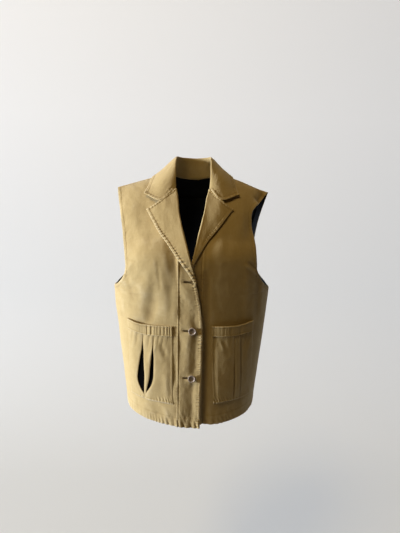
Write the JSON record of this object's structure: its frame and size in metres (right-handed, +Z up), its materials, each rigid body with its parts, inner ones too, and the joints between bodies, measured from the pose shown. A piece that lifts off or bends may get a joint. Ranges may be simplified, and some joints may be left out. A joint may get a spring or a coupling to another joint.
{
  "type": "vest",
  "caption": "Sleeveless canvas vest with a notched collar and lapels, a buttoned front band and pleated patch pockets.",
  "frame": {"origin": "midway between the neck points of the two shoulder seams, where the vest hangs on the wearer's shoulders", "axes": "+Z up, the front faces -Y, the wearer's left is +X"},
  "size_m": [0.4456, 0.2846, 0.7377],
  "materials": {
    "canvas": "washed khaki cotton canvas",
    "lining": "dark plain lining",
    "button": "dark brown rimmed button"
  },
  "bodies": {
    "root": {"front_right": "canvas", "front_left": "canvas", "front_band_right": "canvas", "front_band_left": "canvas", "lapel_right": "canvas", "lapel_left": "canvas", "pocket_right": "canvas", "pocket_left": "canvas", "pocket_band_right": "canvas", "pocket_band_left": "canvas", "back": "canvas", "collar": "canvas", "lining_right": "lining", "lining_left": "lining", "lining_back": "lining", "pleat_lining_right": "lining", "button_top": "button", "button_middle": "button", "button_bottom": "button"}
  },
  "joints": []
}
